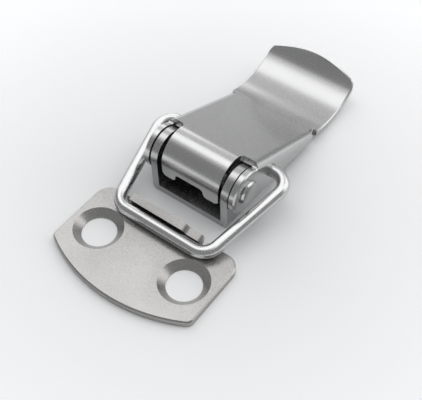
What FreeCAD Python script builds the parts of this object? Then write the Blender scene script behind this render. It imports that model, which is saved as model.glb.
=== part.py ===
import FreeCAD, Part
import math
import os

# Over-centre toggle latch: a screw-down bracket carries a folded lever on a riveted pin,
# the lever carries a wire bail, and the bail's front bar sits behind the leaning hook of
# a separate keeper plate. Millimetres. X runs along the pin, Y from the keeper towards
# the lever's tip, and Z = 0 is the surface that bracket and keeper are screwed to.
# The latch is drawn closed.

# Stock
plate_sheet = 1.5
lever_sheet = 1.2
wire_d = 2.5
edge_break = 0.25

# Screw seats, the same in the keeper and in the bracket
screw_hole_d = 6.7
screw_sink_d = 9.6
screw_land = 0.2

# Keeper plate
keeper_width = 32.0
keeper_front = 29.0
keeper_front_r = 32.0
keeper_corner_front = 1.3
keeper_corner_rear = 3.0
keeper_rear = 9.5
keeper_hole_spacing = 20.0
keeper_hole_y = -18.72

# Hook bent up from the keeper's rear edge
hook_left = -8.35
hook_right = 7.6
hook_bend_in = 0.9
hook_lean = 18.0
hook_rise = 1.3
hook_step_x = 4.3
hook_step_drop = 1.05
hook_step_r = 0.75
hook_corner_r = 0.6
hook_relief_w = 0.8
hook_to_bar = 0.45

# Pivot pin
pin_z = 7.8
pin_d = 3.0
pin_head_d = 4.8
pin_head_t = 0.5
pin_head_chamfer = 0.3
pin_bore_gap = 0.05
pin_head_gap = 0.05

# Bracket
ear_inner = 7.3
ear_r = 4.25
ear_foot_y = 8.5
bracket_bend_in = 0.3
bracket_bend_out = 1.0
bracket_tail_y = 23.3
bracket_tail_corner = 2.0
bracket_hole_y = 6.9
bracket_hole_spacing = 11.0

# Lever
flange_gap = 0.3
lever_disc_r = 4.4
lever_slope = 23.6
lever_top_rise = 5.39
curl_r = 4.95
curl_front = 3.85
tongue_gap = 0.84
tab_bottom = 5.06
tab_corner = 1.0
tab_notch_rise = 1.75
tab_notch_left = -3.4
tab_notch_right = 3.0
tab_notch_r = 0.8
slot_end = 1.8
slot_r = 1.3
slot_disc_r = 0.6
lever_bend_out = 1.6
lever_bend_in = 0.4
flange_rear_y = 23.2
flange_rear_z = 1.65
neck_notch_w = 1.2
neck_notch_d = 1.1
paddle_slope = 36.0
paddle_dip_y = 31.25
paddle_dip_r = 14.0
paddle_tip_y = 40.0
paddle_tip_r = 22.0
paddle_corner_r = 3.0

# Wire bail
bail_pivot_y = 7.75
bail_pivot_z = 6.65
bail_bore_gap = 0.08
bail_rear_half = 15.0
bail_front_half = 10.5
bail_bar_y = -12.98
bail_front_r = 3.2
bail_rear_r = 2.95
bail_seat_gap = 0.05
bail_stub_in = 2.0

# Sizes that follow
ear_outer = ear_inner + plate_sheet
flange_inner = ear_outer + flange_gap
flange_outer = flange_inner + lever_sheet
tongue_half = ear_inner - tongue_gap
wire_r = wire_d / 2
bail_bar_z = plate_sheet + wire_r + bail_seat_gap
slope = math.radians(lever_slope)


def flat(x, y, z=0.0):
    return FreeCAD.Vector(x, y, z)


def side(y, z, x=0.0):
    return FreeCAD.Vector(x, y, z)


def cross(x, z, y=0.0):
    return FreeCAD.Vector(x, y, z)


def corner(before, at, after, radius):
    """Ends and middle of the arc that rounds one corner."""
    u = (before - at).normalize()
    v = (after - at).normalize()
    half = u.getAngle(v) / 2
    reach = radius / math.tan(half)
    start = at + u * reach
    end = at + v * reach
    bisector = (u + v).normalize()
    middle = at + bisector * (radius / math.sin(half) - radius)
    return start, middle, end


def path(points, radii, closed=True):
    """Straight runs through the points, each corner rounded by its radius."""
    count = len(points)
    ends = []
    for i in range(count):
        inside = closed or 0 < i < count - 1
        if inside and radii[i] > 0:
            ends.append(corner(points[i - 1], points[i], points[(i + 1) % count], radii[i]))
        else:
            ends.append((points[i], None, points[i]))
    edges = []
    for i in range(count):
        start, middle, end = ends[i]
        if middle is not None:
            edges.append(Part.Arc(start, middle, end).toShape())
        if closed or i < count - 1:
            after = ends[(i + 1) % count][0]
            if (after - end).Length > 1e-6:
                edges.append(Part.LineSegment(end, after).toShape())
    return Part.Wire(edges)


def prism(points, radii, along):
    return Part.Face(path(points, radii)).extrude(along)


def rod(point, direction, radius, length):
    return Part.makeCylinder(radius, length, point, direction)


def along_x(shape_points, radii, x0, x1):
    moved = [FreeCAD.Vector(x0, p.y, p.z) for p in shape_points]
    return prism(moved, radii, FreeCAD.Vector(x1 - x0, 0, 0))


def mirror_x(shape):
    return shape.mirror(FreeCAD.Vector(0, 0, 0), FreeCAD.Vector(1, 0, 0))


def halfway(edge):
    return edge.valueAt((edge.FirstParameter + edge.LastParameter) / 2)


def edges_where(shape, test):
    return [edge for edge in shape.Edges if test(edge)]


def ends_near(edge, first, second, tolerance=0.02):
    a = edge.Vertexes[0].Point
    b = edge.Vertexes[-1].Point
    direct = (a - first).Length < tolerance and (b - second).Length < tolerance
    swapped = (b - first).Length < tolerance and (a - second).Length < tolerance
    return direct or swapped


def screw_seat(x, y):
    """Countersunk hole through the sheet, wide at the top, with a short round land below."""
    land = rod(flat(x, y, -1), flat(0, 0, 1), screw_hole_d / 2, plate_sheet + 2)
    cone = Part.makeCone(screw_hole_d / 2, screw_sink_d / 2, plate_sheet - screw_land,
                         flat(x, y, screw_land), flat(0, 0, 1))
    return land.fuse(cone)


def make_keeper():
    half = keeper_width / 2
    arc_y = keeper_front_r - keeper_front
    corner_y = arc_y - math.sqrt(keeper_front_r ** 2 - half ** 2)
    outline = Part.Wire([
        Part.LineSegment(flat(-half, corner_y), flat(-half, -keeper_rear)).toShape(),
        Part.LineSegment(flat(-half, -keeper_rear), flat(half, -keeper_rear)).toShape(),
        Part.LineSegment(flat(half, -keeper_rear), flat(half, corner_y)).toShape(),
        Part.Arc(flat(half, corner_y), flat(0, -keeper_front), flat(-half, corner_y)).toShape(),
    ])
    plate = Part.Face(outline).extrude(flat(0, 0, plate_sheet))
    for y, radius in ((corner_y, keeper_corner_front), (-keeper_rear, keeper_corner_rear)):
        upright = []
        for x in (-half, half):
            upright += edges_where(plate, lambda e: ends_near(e, flat(x, y), flat(x, y, plate_sheet)))
        plate = plate.makeFillet(radius, upright)
    plate = plate.makeChamfer(edge_break, edges_where(
        plate, lambda e: all(abs(v.Z - plate_sheet) < 1e-6 for v in e.Vertexes)))

    # The hook leaves the plate through a bend of more than a right angle, so that it
    # leans over the bail's bar. Its inner face stays clear of the bar by hook_to_bar.
    lean = math.radians(hook_lean)
    out = side(math.cos(lean), math.sin(lean))
    up = side(-math.sin(lean), math.cos(lean))
    bend_z = plate_sheet + hook_bend_in
    face_off = wire_r + hook_to_bar
    bar = side(bail_bar_y, bail_bar_z)
    bend_y = bar.y + (face_off - hook_bend_in - (bend_z - bar.z) * out.z) / out.y
    bend = side(bend_y, bend_z)
    inner_foot = bend + out * hook_bend_in
    outer_foot = bend + out * (hook_bend_in + plate_sheet)
    lip_top = inner_foot + up * hook_rise
    lip_back = outer_foot + up * hook_rise
    middle = side(math.cos((lean - math.pi / 2) / 2), math.sin((lean - math.pi / 2) / 2))
    section = Part.Wire([
        Part.LineSegment(side(bend_y, 0), side(bend_y, plate_sheet)).toShape(),
        Part.Arc(side(bend_y, plate_sheet), bend + middle * hook_bend_in, inner_foot).toShape(),
        Part.LineSegment(inner_foot, lip_top).toShape(),
        Part.LineSegment(lip_top, lip_back).toShape(),
        Part.LineSegment(lip_back, outer_foot).toShape(),
        Part.Arc(outer_foot, bend + middle * (hook_bend_in + plate_sheet), side(bend_y, 0)).toShape(),
    ])
    hook = Part.Face(section).extrude(flat(hook_right - hook_left, 0, 0))
    hook.translate(flat(hook_left, 0, 0))

    # Stepped top edge: full height on the left, a smooth S down to a lower shoulder on
    # the right, and a rounded end.
    def lip(x, rise):
        return inner_foot - out * 2 + up * rise + flat(x, 0, 0)
    low = hook_rise - hook_step_drop
    over = hook_rise + 2
    step = prism([lip(hook_step_x, over), lip(hook_step_x, low), lip(hook_right + 2, low),
                  lip(hook_right + 2, over)],
                 [0, hook_step_r, 0, 0], out * (plate_sheet + 4))
    hook = hook.cut(step)
    crest = lip(hook_step_x, hook_rise)
    shoulder = lip(hook_right, low)
    def runs_through(edge, point, radius_floor=1.0):
        direction = edge.Vertexes[-1].Point - edge.Vertexes[0].Point
        if direction.Length < radius_floor:
            return False
        if abs(direction.normalize().dot(out)) < 0.999:
            return False
        offset = edge.Vertexes[0].Point - point
        return (offset - out * offset.dot(out)).Length < 0.05
    hook = hook.makeFillet(hook_step_r * 0.9, edges_where(hook, lambda e: runs_through(e, crest)))
    hook = hook.makeFillet(hook_corner_r, edges_where(hook, lambda e: runs_through(e, shoulder)))

    # The strip that becomes the hook is parted from the plate by a narrow slit at each end.
    throat = flat(0, bend_y, -1)
    gap = Part.makeBox(hook_right - hook_left + 2 * hook_relief_w, keeper_rear + bend_y + 20,
                       plate_sheet + 2, flat(hook_left - hook_relief_w, throat.y, throat.z))
    keeper = plate.cut(gap).fuse(hook)
    for x in (-keeper_hole_spacing / 2, keeper_hole_spacing / 2):
        keeper = keeper.cut(screw_seat(x, keeper_hole_y))
    return keeper.removeSplitter()


def make_bracket():
    floor = plate_sheet
    top = pin_z + ear_r + 1
    front = -ear_r
    outer = ear_outer
    inner = ear_inner
    channel = prism(
        [cross(-outer, 0, front), cross(outer, 0, front), cross(outer, top, front),
         cross(inner, top, front), cross(inner, floor, front), cross(-inner, floor, front),
         cross(-inner, top, front), cross(-outer, top, front)],
        [bracket_bend_out, bracket_bend_out, 0, 0, bracket_bend_in, bracket_bend_in, 0, 0],
        flat(0, ear_foot_y - front, 0))

    # Side outline of the ears: upright front, round head about the pin, and a back edge
    # that is tangent to the head and runs down to the floor of the channel.
    head = side(0, pin_z)
    foot = side(ear_foot_y, floor)
    reach = (head - foot).Length
    turn = math.asin(ear_r / reach)
    to_head = math.atan2(head.z - foot.z, head.y - foot.y)
    run = math.sqrt(reach ** 2 - ear_r ** 2)
    tangent = foot + side(math.cos(to_head - turn), math.sin(to_head - turn)) * run
    crown = head + ((tangent - head).normalize() + side(-1, 0)).normalize() * ear_r
    profile = Part.Wire([
        Part.LineSegment(side(front, 0), side(front, pin_z)).toShape(),
        Part.Arc(side(front, pin_z), crown, tangent).toShape(),
        Part.LineSegment(tangent, foot).toShape(),
        Part.LineSegment(foot, side(ear_foot_y, 0)).toShape(),
        Part.LineSegment(side(ear_foot_y, 0), side(front, 0)).toShape(),
    ])
    mask = Part.Face(profile).extrude(flat(2 * outer + 2, 0, 0))
    mask.translate(flat(-outer - 1, 0, 0))
    body = channel.common(mask)

    tail_half = ear_inner + bracket_bend_in
    overlap = 2.0
    tail = prism(
        [flat(-tail_half, ear_foot_y - overlap), flat(tail_half, ear_foot_y - overlap),
         flat(tail_half, bracket_tail_y), flat(-tail_half, bracket_tail_y)],
        [0, 0, bracket_tail_corner, bracket_tail_corner], flat(0, 0, floor))
    body = body.fuse(tail)
    for y in (bracket_hole_y, bracket_hole_y + bracket_hole_spacing):
        body = body.cut(screw_seat(0, y))
    body = body.cut(rod(flat(-outer - 1, 0, pin_z), flat(1, 0, 0), pin_d / 2, 2 * outer + 2))
    return body.removeSplitter()


def make_pin():
    half = flange_outer + pin_head_gap
    pin = rod(flat(-half, 0, pin_z), flat(1, 0, 0), pin_d / 2, 2 * half)
    for sign in (-1, 1):
        base = flat(sign * half, 0, pin_z)
        head = rod(base, flat(sign, 0, 0), pin_head_d / 2, pin_head_t)
        rim = edges_where(head, lambda e: e.Curve.TypeId == "Part::GeomCircle"
                          and abs(e.Curve.Center.x - base.x) > pin_head_t / 2)
        pin = pin.fuse(head.makeChamfer(pin_head_chamfer, rim))
    return pin.removeSplitter()


# Directions in the lever's top sheet, seen from the side.
down_sheet = side(math.cos(slope), -math.sin(slope))
off_sheet = side(math.sin(slope), math.cos(slope))
pin_centre = side(0, pin_z)


def off_along(vector, direction):
    """Signed distance of a side-view vector from a line with the given direction."""
    return direction.y * vector.z - direction.z * vector.y


def top_z(y):
    """Height of the lever's flat top face above the mounting surface."""
    return pin_z + lever_top_rise / math.cos(slope) - y * math.tan(slope)


def sheet_strip(points, radii, thickness, x0, x1):
    """Bent sheet of even thickness below a chain of points, as a prism along X."""
    directions = []
    for a, b in zip(points, points[1:]):
        directions.append((b - a).normalize())
    below = []
    under_radii = []
    for i, point in enumerate(points):
        before = directions[max(i - 1, 0)]
        after = directions[min(i, len(directions) - 1)]
        n1 = side(before.z, -before.y)
        n2 = side(after.z, -after.y)
        mid = (n1 + n2).normalize()
        below.append(point + mid * (thickness / mid.dot(n1)))
        turn = before.y * after.z - before.z * after.y
        if radii[i] > 0:
            under_radii.append(radii[i] - thickness if turn < 0 else radii[i] + thickness)
        else:
            under_radii.append(0)
    return along_x(points + below[::-1], radii + under_radii[::-1], x0, x1)


def make_lever():
    # Sheet from the tongue's lower edge, over the curl, down the top and out to the tip.
    dip_z = top_z(paddle_dip_y)
    beyond = paddle_tip_y + 2
    rise = math.tan(math.radians(paddle_slope))
    chain = [side(-curl_front, tab_bottom), side(-curl_front, top_z(-curl_front)),
             side(paddle_dip_y, dip_z), side(beyond, dip_z + (beyond - paddle_dip_y) * rise)]
    sheet = sheet_strip(chain, [0, curl_r, paddle_dip_r, 0], lever_sheet,
                        -flange_outer, flange_outer)

    # Plan of the paddle: straight sides and a gently curved tip with rounded corners.
    arc_y = paddle_tip_y - paddle_tip_r
    side_y = arc_y + math.sqrt(paddle_tip_r ** 2 - flange_outer ** 2)
    far_front = -curl_front - 1
    outline = Part.Wire([
        Part.LineSegment(flat(flange_outer, side_y, -5), flat(flange_outer, far_front, -5)).toShape(),
        Part.LineSegment(flat(flange_outer, far_front, -5), flat(-flange_outer, far_front, -5)).toShape(),
        Part.LineSegment(flat(-flange_outer, far_front, -5), flat(-flange_outer, side_y, -5)).toShape(),
        Part.Arc(flat(-flange_outer, side_y, -5), flat(0, paddle_tip_y, -5),
                 flat(flange_outer, side_y, -5)).toShape(),
    ])
    plan = Part.Face(outline).extrude(flat(0, 0, 30))
    tips = []
    for x in (-flange_outer, flange_outer):
        tips += edges_where(plan, lambda e: ends_near(e, flat(x, side_y, -5), flat(x, side_y, 25)))
    plan = plan.makeFillet(paddle_corner_r, tips)
    sheet = sheet.common(plan)

    # Beside the tongue the sheet is cut away in front of the slot's end. Behind it the
    # sheet's sides give way to the folded section that carries the flanges.
    def in_sheet(x, s, n):
        return pin_centre + down_sheet * s + off_sheet * n + flat(x, 0, 0)

    deep = -20
    flat_half = flange_outer - lever_bend_out
    flange_end = (flange_rear_y - lever_top_rise * math.sin(slope)) / math.cos(slope)
    slot = prism([in_sheet(tongue_half, -20, deep), in_sheet(tongue_half, slot_end, deep),
                  in_sheet(flange_outer + 1, slot_end, deep), in_sheet(flange_outer + 1, -20, deep)],
                 [0, slot_r, 0, 0], off_sheet * 40)
    margin = prism([in_sheet(flat_half, slot_end, deep), in_sheet(flat_half, flange_end, deep),
                    in_sheet(flange_outer + 1, flange_end, deep), in_sheet(flange_outer + 1, slot_end, deep)],
                   [0, 0, 0, 0], off_sheet * 40)
    notch = prism([in_sheet(flange_outer - neck_notch_d, flange_end, deep),
                   in_sheet(flange_outer - neck_notch_d, flange_end + neck_notch_w, deep),
                   in_sheet(flange_outer + 1, flange_end + neck_notch_w, deep),
                   in_sheet(flange_outer + 1, flange_end, deep)],
                  [neck_notch_d / 4, neck_notch_d / 4, 0, 0], off_sheet * 40)
    for tool in (slot, margin, notch):
        sheet = sheet.cut(tool).cut(mirror_x(tool))

    # Folded section: top sheet with a round bend down to each flange.
    bend_n = lever_top_rise - lever_bend_out
    under_n = lever_top_rise - lever_sheet
    saddle = prism(
        [in_sheet(-flange_outer, slot_end, bend_n), in_sheet(-flange_outer, slot_end, lever_top_rise),
         in_sheet(flange_outer, slot_end, lever_top_rise), in_sheet(flange_outer, slot_end, bend_n),
         in_sheet(flange_inner, slot_end, bend_n), in_sheet(flange_inner, slot_end, under_n),
         in_sheet(-flange_inner, slot_end, under_n), in_sheet(-flange_inner, slot_end, bend_n)],
        [0, lever_bend_out, lever_bend_out, 0, 0, lever_bend_in, lever_bend_in, 0],
        down_sheet * (flange_end - slot_end))

    # Flange: a disc about the pin and behind it a side wall that tapers to the rear.
    # The outer edge is broken on each piece, and the pieces meet square to that edge.
    def outer_edges(shape, kind, size):
        return edges_where(shape, lambda e: e.Curve.TypeId == kind
                           and abs(halfway(e).x - flange_outer) < 1e-6
                           and abs((e.Curve.Radius if kind.endswith("Circle") else e.Length) - size) < 1e-3)
    disc = rod(flat(flange_inner, 0, pin_z), flat(1, 0, 0), lever_disc_r, lever_sheet)
    disc = disc.makeChamfer(edge_break, outer_edges(disc, "Part::GeomCircle", lever_disc_r))
    rear = side(flange_rear_y, flange_rear_z)
    gap = pin_centre - rear
    lower_turn = math.atan2(gap.z, gap.y) + math.asin(lever_disc_r / gap.Length)
    run = math.sqrt(gap.Length ** 2 - lever_disc_r ** 2)
    lower = side(math.cos(lower_turn), math.sin(lower_turn))
    under = rear + lower * run
    rear_top = in_sheet(0, flange_end, bend_n)
    rear_low = rear_top - off_sheet * (off_along(rear_top - rear, lower) / off_along(off_sheet, lower))
    wall = along_x([under, rear_low, rear_top, in_sheet(0, slot_end, bend_n), pin_centre],
                   [0, 0, 0, 0, 0], flange_inner, flange_outer)
    wall = wall.makeChamfer(edge_break, outer_edges(wall, "Part::GeomLine", (rear_low - under).Length))

    # A small round fills the crook between the disc's rim and the end of the slot.
    crook_s = slot_end - slot_disc_r
    crook_n = math.sqrt((lever_disc_r + slot_disc_r) ** 2 - crook_s ** 2)
    crook = in_sheet(flange_inner, crook_s, crook_n)
    start = in_sheet(flange_inner, 0, 0)
    start = start + (crook - start).normalize() * lever_disc_r
    end = crook + down_sheet * slot_disc_r
    mid = crook + ((start - crook).normalize() + down_sheet).normalize() * slot_disc_r
    floor = in_sheet(flange_inner, slot_end, bend_n - 0.5)
    web = Part.Face(Part.Wire([
        Part.Arc(start, mid, end).toShape(),
        Part.LineSegment(end, floor).toShape(),
        Part.LineSegment(floor, in_sheet(flange_inner, 0, 0)).toShape(),
        Part.LineSegment(in_sheet(flange_inner, 0, 0), start).toShape(),
    ])).extrude(flat(lever_sheet, 0, 0))
    web = web.makeChamfer(edge_break, outer_edges(web, "Part::GeomCircle", slot_disc_r))
    cover = prism(
        [in_sheet(0, -2, -2), in_sheet(0, -2, lever_top_rise),
         in_sheet(flange_outer, -2, lever_top_rise), in_sheet(flange_outer, -2, -2)],
        [0, 0, lever_bend_out, 0], down_sheet * (slot_end + 2))
    web = web.common(cover)

    # The paddle's outline is broken all round, above and below.
    rims = ("Part::GeomEllipse", "Part::GeomBSplineCurve", "Part::GeomCircle")
    neck = flange_rear_y + neck_notch_w
    sheet = sheet.makeChamfer(edge_break, edges_where(
        sheet, lambda e: halfway(e).y > neck and e.Curve.TypeId in rims))

    flange = [disc, wall, web]
    lever = sheet.fuse([saddle] + flange + [mirror_x(piece) for piece in flange])
    lever = lever.removeSplitter()

    # Lower edge of the tongue: a raised opening in the middle and rounded outer corners.
    front = -curl_front - 1
    top = tab_bottom + tab_notch_rise
    opening = prism(
        [cross(tab_notch_left - 3, tab_bottom - 3, front), cross(tab_notch_left - 3, tab_bottom, front),
         cross(tab_notch_left, tab_bottom, front), cross(tab_notch_left, top, front),
         cross(tab_notch_right, top, front), cross(tab_notch_right, tab_bottom, front),
         cross(tab_notch_right + 3, tab_bottom, front), cross(tab_notch_right + 3, tab_bottom - 3, front)],
        [0, 0, tab_notch_r, tab_notch_r, tab_notch_r, tab_notch_r, 0, 0],
        flat(0, lever_sheet + 2, 0))
    lever = lever.cut(opening)
    for sign in (-1, 1):
        bit = edges_where(lever, lambda e: ends_near(
            e, flat(sign * tongue_half, -curl_front, tab_bottom),
            flat(sign * tongue_half, -curl_front + lever_sheet, tab_bottom)))
        lever = lever.makeFillet(tab_corner, bit)

    # Bores for the pin and for the bail's ends.
    for y, z, radius in ((0, pin_z, pin_d / 2 + pin_bore_gap),
                         (bail_pivot_y, bail_pivot_z, wire_r + bail_bore_gap)):
        lever = lever.cut(rod(flat(-flange_outer - 1, y, z), flat(1, 0, 0), radius,
                              2 * flange_outer + 2))
    return lever.removeSplitter()


def make_bail():
    # The wire lies in one plane through its pivot axis and the axis of its front bar.
    back = flat(0, bail_pivot_y, bail_pivot_z)
    bar = flat(0, bail_bar_y, bail_bar_z)
    stub = flange_inner - bail_stub_in
    points = [back + flat(stub, 0, 0), back + flat(bail_rear_half, 0, 0),
              bar + flat(bail_front_half, 0, 0), bar - flat(bail_front_half, 0, 0),
              back - flat(bail_rear_half, 0, 0), back - flat(stub, 0, 0)]
    spine = path(points, [0, bail_rear_r, bail_front_r, bail_front_r, bail_rear_r, 0], closed=False)
    ring = Part.Wire(Part.Circle(points[0], flat(1, 0, 0), wire_r).toShape())
    return spine.makePipeShell([ring], True, False)


nodes = {
    "keeper_plate": make_keeper,
    "base_bracket": make_bracket,
    "pivot_pin": make_pin,
    "lever": make_lever,
    "bail": make_bail,
}

os.makedirs("parts", exist_ok=True)
for name, make in nodes.items():
    shape = make()
    box = shape.BoundBox
    print(name, shape.ShapeType, "solids", len(shape.Solids), "valid", shape.isValid(),
          "volume %.1f" % shape.Volume,
          "x %.2f..%.2f y %.2f..%.2f z %.2f..%.2f" % (
              box.XMin, box.XMax, box.YMin, box.YMax, box.ZMin, box.ZMax))
    shape.exportStep("parts/%s.step" % name)
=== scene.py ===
import math
import bmesh
import bpy
import numpy as np
from mathutils import Matrix, Vector


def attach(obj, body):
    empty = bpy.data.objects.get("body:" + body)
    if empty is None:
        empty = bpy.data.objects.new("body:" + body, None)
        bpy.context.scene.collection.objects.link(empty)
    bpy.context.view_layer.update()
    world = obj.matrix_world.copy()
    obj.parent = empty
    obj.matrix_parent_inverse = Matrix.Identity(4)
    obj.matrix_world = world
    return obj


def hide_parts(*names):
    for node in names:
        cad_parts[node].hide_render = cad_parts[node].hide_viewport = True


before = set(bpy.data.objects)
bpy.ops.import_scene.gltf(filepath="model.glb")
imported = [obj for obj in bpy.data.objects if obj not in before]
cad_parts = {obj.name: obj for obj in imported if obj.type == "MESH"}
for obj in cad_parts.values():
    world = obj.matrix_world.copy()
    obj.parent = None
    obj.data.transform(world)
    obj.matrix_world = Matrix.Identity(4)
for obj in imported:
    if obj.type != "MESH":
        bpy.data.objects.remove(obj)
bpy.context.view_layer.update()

scene = bpy.context.scene


def newMaterial(name):
    material = bpy.data.materials.new(name)
    material.use_nodes = True
    tree = material.node_tree
    tree.nodes.clear()
    return material, tree


def addNoise(tree, vector, scale, detail):
    noise = tree.nodes.new("ShaderNodeTexNoise")
    noise.inputs["Scale"].default_value = scale
    noise.inputs["Detail"].default_value = detail
    tree.links.new(vector, noise.inputs["Vector"])
    return noise.outputs["Fac"]


def addRange(tree, value, low, high):
    # the middle part of a noise, stretched from low to high
    stretch = tree.nodes.new("ShaderNodeMapRange")
    stretch.inputs["From Min"].default_value = 0.3
    stretch.inputs["From Max"].default_value = 0.7
    stretch.inputs["To Min"].default_value = low
    stretch.inputs["To Max"].default_value = high
    tree.links.new(value, stretch.inputs["Value"])
    return stretch.outputs["Result"]


# Stainless steel: a fine grain in height and roughness, and a slow cloud in colour.
def makeSteel(name, look):
    material, tree = newMaterial(name)
    link = tree.links.new
    coords = tree.nodes.new("ShaderNodeTexCoord").outputs["Object"]
    stretch = tree.nodes.new("ShaderNodeMapping")
    stretch.inputs["Scale"].default_value = look["grainStretch"]
    link(coords, stretch.inputs["Vector"])
    grain = addNoise(tree, stretch.outputs["Vector"], look["grainScale"], 2.0)
    cloud = addNoise(tree, coords, look["cloudScale"], 2.0)

    tone = tree.nodes.new("ShaderNodeMix")
    tone.data_type = "RGBA"
    tone.inputs["A"].default_value = (*look["darkTone"], 1)
    tone.inputs["B"].default_value = (*look["lightTone"], 1)
    speckle = tree.nodes.new("ShaderNodeMath")
    speckle.operation = "ADD"
    link(addRange(tree, cloud, 0.0, 0.5), speckle.inputs[0])
    link(addRange(tree, grain, 0.0, 0.5), speckle.inputs[1])
    link(speckle.outputs["Value"], tone.inputs["Factor"])

    bump = tree.nodes.new("ShaderNodeBump")
    bump.inputs["Strength"].default_value = look["bumpStrength"]
    bump.inputs["Distance"].default_value = look["bumpDepth"]
    link(grain, bump.inputs["Height"])

    shader = tree.nodes.new("ShaderNodeBsdfPrincipled")
    shader.inputs["Metallic"].default_value = 1.0
    link(tone.outputs["Result"], shader.inputs["Base Color"])
    link(addRange(tree, grain, *look["roughness"]), shader.inputs["Roughness"])
    link(bump.outputs["Normal"], shader.inputs["Normal"])
    output = tree.nodes.new("ShaderNodeOutputMaterial")
    link(shader.outputs["BSDF"], output.inputs["Surface"])
    return material


def putMaterial(nodeName, material):
    part = bpy.data.objects[nodeName]
    if not part.material_slots:
        part.data.materials.append(material)
    for slot in part.material_slots:
        slot.material = material


# Keeper plate: bead-blasted, the roughest and palest of the five.
keeperLook = {
    "grainStretch": (1, 1, 1), "grainScale": 3600.0, "cloudScale": 90.0,
    "darkTone": (0.35, 0.344, 0.338), "lightTone": (0.5, 0.49, 0.48),
    "roughness": (0.26, 0.36), "bumpStrength": 0.3, "bumpDepth": 0.00003,
}
putMaterial("keeper_plate", makeSteel("keeperSteel", keeperLook))
print("keeper plate blasted")

# Bracket: plain satin sheet, mostly in the lever's shade.
bracketLook = {
    "grainStretch": (1, 1, 1), "grainScale": 4500.0, "cloudScale": 110.0,
    "darkTone": (0.42, 0.42, 0.425), "lightTone": (0.5, 0.5, 0.505),
    "roughness": (0.24, 0.28), "bumpStrength": 0.05, "bumpDepth": 0.00002,
}
putMaterial("base_bracket", makeSteel("bracketSteel", bracketLook))

# Lever: satin sheet with a very fine, even grain.
leverLook = {
    "grainStretch": (1, 1, 1), "grainScale": 5200.0, "cloudScale": 100.0,
    "darkTone": (0.5, 0.5, 0.502), "lightTone": (0.54, 0.54, 0.54),
    "roughness": (0.22, 0.28), "bumpStrength": 0.1, "bumpDepth": 0.00002,
}
leverSteel = makeSteel("leverSteel", leverLook)
putMaterial("lever", leverSteel)
print("bracket and lever brushed down to satin")

# The paddle as the photograph has it: a wider bow, a second and sharper bend at its end,
# and tight corners. From the neck forward the lever is the CAD's own. Metres and degrees.
paddleLook = {
    "cut": 0.0246, "sheet": 0.0012, "edgeBreak": 0.00022,
    "pinHeight": 0.0078, "topRise": 0.00539, "topSlope": 23.6,
    "bowFrom": 0.0239, "bowR": 0.01444, "bowTurn": 52.9, "endR": 0.0066, "endTurn": 39.0,
    "half": 0.0103, "tip": 0.03985, "tipR": 0.043, "cornerR": 0.0015, "lowerReach": 0.0003,
    "columns": 121, "rows": 120, "smoothAngle": 30.0,
}


# Height and slope of the sheet's upper face along Y, and height of the lower one. The
# slope turns by distance over radius in the bow and then in the end bend, and the lower
# face lies one sheet below, square to the slope.
def sheetSides():
    look = paddleLook
    tilt = math.radians(look["topSlope"])
    step = 0.000005
    run = np.arange(0, 0.024, step)
    bow = math.radians(look["bowTurn"])
    slope = np.clip(run / look["bowR"], 0, bow) - tilt
    slope += np.clip((run - bow * look["bowR"]) / look["endR"], 0, math.radians(look["endTurn"]))
    start = look["pinHeight"] + look["topRise"] / math.cos(tilt) - look["bowFrom"] * math.tan(tilt)
    y = look["bowFrom"] + np.cumsum(np.cos(slope)) * step
    z = start + np.cumsum(np.sin(slope)) * step
    lowerY = y + look["sheet"] * np.sin(slope)
    lowerZ = z - look["sheet"] * np.cos(slope)
    upper = lambda at: (np.interp(at, y, z), np.interp(at, y, slope))
    lower = lambda at: (np.interp(at, lowerY, lowerZ), np.interp(at, lowerY, slope))
    return upper, lower


# Where the paddle ends at each X: a shallow arc about a centre on the middle line, and at
# each side a small circle that touches both the arc and the side.
def paddleEnd(x):
    look = paddleLook
    inset = look["edgeBreak"]
    half = look["half"] - inset
    tipR = look["tipR"] - inset
    cornerR = look["cornerR"] - inset
    centre = look["tip"] - look["tipR"]
    cornerX = half - cornerR
    cornerY = centre + math.sqrt((tipR - cornerR) ** 2 - cornerX ** 2)
    arc = centre + np.sqrt(tipR ** 2 - x ** 2)
    small = cornerY + np.sqrt(np.clip(cornerR ** 2 - (np.abs(x) - cornerX) ** 2, 0, None))
    touch = cornerX * tipR / (tipR - cornerR)
    return np.where(np.abs(x) < touch, arc, small)


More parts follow.
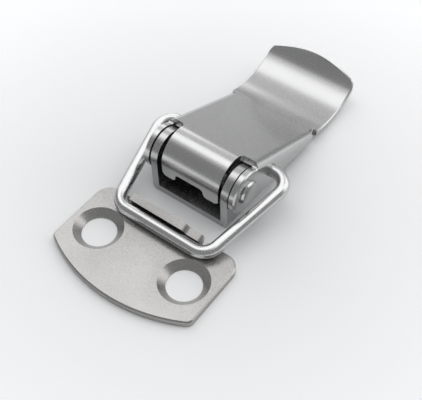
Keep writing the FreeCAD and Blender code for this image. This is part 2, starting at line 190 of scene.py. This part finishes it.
# A closed shell of quads: an upper and a lower grid, each column running from the cut to
# the paddle's end, and between their borders a wall with both of its edges broken.
def paddleShell():
    look = paddleLook
    m, n, e = look["columns"], look["rows"], look["edgeBreak"]
    upper, lower = sheetSides()
    across = (look["half"] - e) * np.sin(np.linspace(-np.pi / 2, np.pi / 2, m))
    along = np.linspace(0, 1, n)
    x = np.repeat(across[:, None], n, 1)
    y = look["cut"] + along[None, :] * (paddleEnd(across)[:, None] - look["cut"])
    lowY = y + look["lowerReach"] * along[None, :] ** 4
    z, slope = upper(y)
    lowZ, lowSlope = lower(lowY)
    top = np.stack([x, y, z], -1)
    bottom = np.stack([x, lowY, lowZ], -1)
    i, j = np.meshgrid(np.arange(m), np.arange(n), indexing="ij")
    index = i * n + j
    border = np.concatenate([index[0, :-1], index[:-1, -1], index[-1, ::-1]])
    plan = top.reshape(-1, 3)[border, :2]
    runs = np.gradient(plan, axis=0)
    out = np.column_stack([-runs[:, 1], runs[:, 0]])
    out /= np.linalg.norm(out, axis=1)[:, None]

    def wallRing(face, angle, side):
        flatOut = np.column_stack([out[:, 0], out[:, 1] * np.cos(angle), out[:, 1] * np.sin(angle)])
        normal = np.column_stack([np.zeros(angle.size), -np.sin(angle), np.cos(angle)])
        return face.reshape(-1, 3)[border] + e * flatOut - side * e * normal
    ringUp = wallRing(top, slope.ravel()[border], 1)
    ringLow = wallRing(bottom, lowSlope.ravel()[border], -1)
    points = np.concatenate([top.reshape(-1, 3), bottom.reshape(-1, 3), ringUp, ringLow])

    def quads(a, b, c, d):
        return np.column_stack([part.ravel() for part in (a, b, c, d)])
    size, count = m * n, border.size
    grid = quads(index[:-1, :-1], index[1:, :-1], index[1:, 1:], index[:-1, 1:])
    rings = [border, 2 * size + np.arange(count), 2 * size + count + np.arange(count), size + border]
    faces = [grid, grid[:, ::-1] + size]
    faces += [quads(a[:-1], a[1:], b[1:], b[:-1]) for a, b in zip(rings, rings[1:])]
    foot = np.concatenate([index[:, 0], [ring[-1] for ring in rings[1:3]],
                           size + index[::-1, 0], [ring[0] for ring in rings[2:0:-1]]])
    return points, np.concatenate(faces), foot[::-1]


# The copy's own shading at every corner that it shares with the CAD mesh.
def keepNormals(source, mesh):
    def keyOf(vertex):
        return tuple(round(value * 1000000) for value in vertex.co)
    known = {}
    for loop, normal in zip(source.loops, source.corner_normals):
        known.setdefault(keyOf(source.vertices[loop.vertex_index]), []).append(normal.vector.copy())
    normals = [normal.vector.copy() for normal in mesh.corner_normals]
    for face in mesh.polygons:
        for corner in face.loop_indices:
            choices = known.get(keyOf(mesh.vertices[mesh.loops[corner].vertex_index]), [])
            if choices:
                normals[corner] = max(choices, key=face.normal.dot)
    mesh.normals_split_custom_set(normals)


def makeDressedLever():
    look = paddleLook
    body = bmesh.new()
    body.from_mesh(bpy.data.objects["lever"].data)
    bmesh.ops.remove_doubles(body, verts=body.verts, dist=0.000001)
    cut = bmesh.ops.bisect_plane(body, geom=body.verts[:] + body.edges[:] + body.faces[:],
                                 dist=0.0000001, plane_co=(0, look["cut"], 0), plane_no=(0, 1, 0),
                                 clear_outer=True)
    rim = [part for part in cut["geom_cut"] if isinstance(part, bmesh.types.BMEdge)]
    bmesh.ops.edgeloop_fill(body, edges=rim)
    points, faces, foot = paddleShell()
    new = [body.verts.new(point) for point in points]
    for face in faces.tolist() + [foot.tolist()]:
        body.faces.new([new[corner] for corner in face])
    bmesh.ops.recalc_face_normals(body, faces=body.faces[:])
    mesh = bpy.data.meshes.new("leverDressed")
    body.to_mesh(mesh)
    body.free()
    mesh.shade_smooth()
    mesh.set_sharp_from_angle(angle=math.radians(look["smoothAngle"]))
    keepNormals(bpy.data.objects["lever"].data, mesh)
    dressed = bpy.data.objects.new("leverDressed", mesh)
    scene.collection.objects.link(dressed)
    mesh.materials.append(leverSteel)
    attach(dressed, "lever")
    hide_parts("lever")


makeDressedLever()
print("paddle drawn out")

# Pin and bail: bright drawn wire and turned heads, nearly without grain.
pinLook = {
    "grainStretch": (1, 1, 1), "grainScale": 3500.0, "cloudScale": 160.0,
    "darkTone": (0.52, 0.52, 0.52), "lightTone": (0.58, 0.58, 0.575),
    "roughness": (0.14, 0.2), "bumpStrength": 0.06, "bumpDepth": 0.00002,
}
putMaterial("pivot_pin", makeSteel("pinSteel", pinLook))

bailLook = {
    "grainStretch": (1, 1, 1), "grainScale": 2500.0, "cloudScale": 130.0,
    "darkTone": (0.54, 0.54, 0.545), "lightTone": (0.6, 0.6, 0.6),
    "roughness": (0.22, 0.28), "bumpStrength": 0.05, "bumpDepth": 0.00002,
}
putMaterial("bail", makeSteel("bailSteel", bailLook))
print("pin and bail polished")

# Floor: white paper. Part of its white is its own glow, so that it stays pale to the camera
# and in the metal, and the rest is lit and takes the latch's shadow. Near the latch the glow
# is left out, which paints a darker shade around it on top of the real shadow.
floorLook = {
    "halfSize": 2.5, "tone": (0.94, 0.945, 0.95), "roughness": 0.6,
    # the floor's own glow by distance from the latch in metres: none close in, as painted shade, more
    # far out
    "whiteAndPaintedShadeByDistance": ((0.012, 0.07, 0.0, 0.2), (0.07, 0.9, 0.0, 0.45)),
}


def makeFloor():
    half = floorLook["halfSize"]
    mesh = bpy.data.meshes.new("floor")
    mesh.from_pydata([(-half, -half, 0), (half, -half, 0), (half, half, 0), (-half, half, 0)],
                     [], [(0, 1, 2, 3)])
    floor = bpy.data.objects.new("floor", mesh)
    scene.collection.objects.link(floor)
    material, tree = newMaterial("floorPaper")
    link = tree.links.new
    coords = tree.nodes.new("ShaderNodeTexCoord").outputs["Object"]
    fibre = addNoise(tree, coords, 40.0, 2.0)
    tone = tree.nodes.new("ShaderNodeMix")
    tone.data_type = "RGBA"
    base = np.array(floorLook["tone"])
    tone.inputs["A"].default_value = (*(base * 0.99), 1)
    tone.inputs["B"].default_value = (*base, 1)
    link(fibre, tone.inputs["Factor"])
    paper = tree.nodes.new("ShaderNodeBsdfDiffuse")
    paper.inputs["Roughness"].default_value = floorLook["roughness"]
    link(tone.outputs["Result"], paper.inputs["Color"])

    rays = tree.nodes.new("ShaderNodeLightPath")
    seen = rays.outputs["Is Camera Ray"]
    for kind in ("Is Glossy Ray", "Is Transmission Ray"):
        either = tree.nodes.new("ShaderNodeMath")
        either.operation = "MAXIMUM"
        link(seen, either.inputs[0])
        link(rays.outputs[kind], either.inputs[1])
        seen = either.outputs["Value"]
    # the paper's own white grows with the distance from the latch: none under it, a painted
    # shade where its shadow lies, and more on the far floor, a painted brightening where the
    # lamps reach less
    away = tree.nodes.new("ShaderNodeVectorMath")
    away.operation = "LENGTH"
    link(coords, away.inputs[0])
    whiteAndPaintedShade = None
    for nearEdge, farEdge, nearWhite, farWhite in floorLook["whiteAndPaintedShadeByDistance"]:
        ramp = tree.nodes.new("ShaderNodeMapRange")
        ramp.inputs["From Min"].default_value = nearEdge
        ramp.inputs["From Max"].default_value = farEdge
        ramp.inputs["To Min"].default_value = nearWhite
        ramp.inputs["To Max"].default_value = farWhite
        link(away.outputs["Value"], ramp.inputs["Value"])
        if whiteAndPaintedShade is None:
            whiteAndPaintedShade = ramp.outputs["Result"]
        else:
            total = tree.nodes.new("ShaderNodeMath")
            link(whiteAndPaintedShade, total.inputs[0])
            link(ramp.outputs["Result"], total.inputs[1])
            whiteAndPaintedShade = total.outputs["Value"]
    level = tree.nodes.new("ShaderNodeMath")
    level.operation = "MULTIPLY"
    link(seen, level.inputs[0])
    link(whiteAndPaintedShade, level.inputs[1])
    # this glow is the backdrop's white, with painted shade near the latch where it is left out
    glow = tree.nodes.new("ShaderNodeEmission")
    link(level.outputs["Value"], glow.inputs["Strength"])
    both = tree.nodes.new("ShaderNodeAddShader")
    link(paper.outputs["BSDF"], both.inputs[0])
    link(glow.outputs["Emission"], both.inputs[1])
    output = tree.nodes.new("ShaderNodeOutputMaterial")
    link(both.outputs["Shader"], output.inputs["Surface"])
    mesh.materials.append(material)


makeFloor()
print("floor laid")

# Lights: a wide softbox overhead and a little behind, which draws the bright band along
# the curl and the wire, and a dim wall of light far behind, which the lever's top shows.
# Brightness is what the face of each box shows, where 1 is white.
lightSet = {
    "overheadCore": {"place": (-0.06, 0.071, 0.44), "sizeX": 0.62, "sizeY": 0.22, "brightness": 1.05},
    "overheadEdge": {"place": (-0.06, 0.1, 0.45), "sizeX": 0.75, "sizeY": 0.54, "brightness": 0.42},
    "backSky": {"place": (-0.3, 0.62, 0.4), "sizeX": 1.2, "sizeY": 0.3, "brightness": 0.33},
    "backWall": {"place": (-0.4, 1.2, 0.3), "sizeX": 2.4, "sizeY": 0.6, "brightness": 0.17},
    "leftRear": {"place": (-0.55, 0.35, 0.32), "sizeX": 0.4, "sizeY": 0.7, "brightness": 1.3},
    "rightRear": {"place": (0.42, 0.48, 0.36), "sizeX": 0.7, "sizeY": 0.6, "brightness": 1.35},
    "room": 0.34,
}


def addSoftbox(name, box):
    lamp = bpy.data.lights.new(name, "AREA")
    lamp.shape = "RECTANGLE"
    lamp.size = box["sizeX"]
    lamp.size_y = box["sizeY"]
    # a flat lamp's face shows its power over pi times its area
    lamp.energy = box["brightness"] * math.pi * box["sizeX"] * box["sizeY"]
    holder = bpy.data.objects.new(name, lamp)
    # the box faces the latch, its long side level and along X
    back = Vector(box["place"]).normalized()
    across = Vector((back.z, 0, -back.x)).normalized()
    basis = Matrix((across, back.cross(across), back)).transposed()
    holder.matrix_world = Matrix.Translation(box["place"]) @ basis.to_4x4()
    scene.collection.objects.link(holder)


def lightRoom():
    for name in [key for key in lightSet if key != "room"]:
        addSoftbox(name, lightSet[name])
    world = bpy.data.worlds.new("room")
    scene.world = world
    world.use_nodes = True
    tree = world.node_tree
    tree.nodes.clear()
    air = tree.nodes.new("ShaderNodeBackground")
    air.inputs["Color"].default_value = (0.985, 0.99, 1.0, 1)
    air.inputs["Strength"].default_value = lightSet["room"]
    output = tree.nodes.new("ShaderNodeOutputWorld")
    tree.links.new(air.outputs["Background"], output.inputs["Surface"])


lightRoom()
print("lights hung")

cameraSet = {"place": (0.06196, -0.07694, 0.12104), "azimuth": 37.977, "elevation": 51.25,
             "roll": -1.617, "lens": 69.21, "sensor": 36.0}


def makeCamera():
    azimuth = math.radians(cameraSet["azimuth"])
    elevation = math.radians(cameraSet["elevation"])
    roll = math.radians(cameraSet["roll"])
    back = np.array([math.sin(azimuth) * math.cos(elevation),
                     -math.cos(azimuth) * math.cos(elevation), math.sin(elevation)])
    right = np.array([math.cos(azimuth), math.sin(azimuth), 0.0])
    up = np.cross(back, right)
    turnedRight = math.cos(roll) * right + math.sin(roll) * up
    turnedUp = -math.sin(roll) * right + math.cos(roll) * up
    basis = np.column_stack([turnedRight, turnedUp, back])
    lens = bpy.data.cameras.new("camera")
    lens.sensor_fit = "HORIZONTAL"
    lens.sensor_width = cameraSet["sensor"]
    lens.lens = cameraSet["lens"]
    lens.clip_start = 0.005
    lens.clip_end = 10.0
    camera = bpy.data.objects.new("camera", lens)
    camera.matrix_world = Matrix.Translation(cameraSet["place"]) @ Matrix(basis.tolist()).to_4x4()
    scene.collection.objects.link(camera)
    scene.camera = camera


makeCamera()
scene.view_settings.view_transform = "Standard"
print("camera placed")
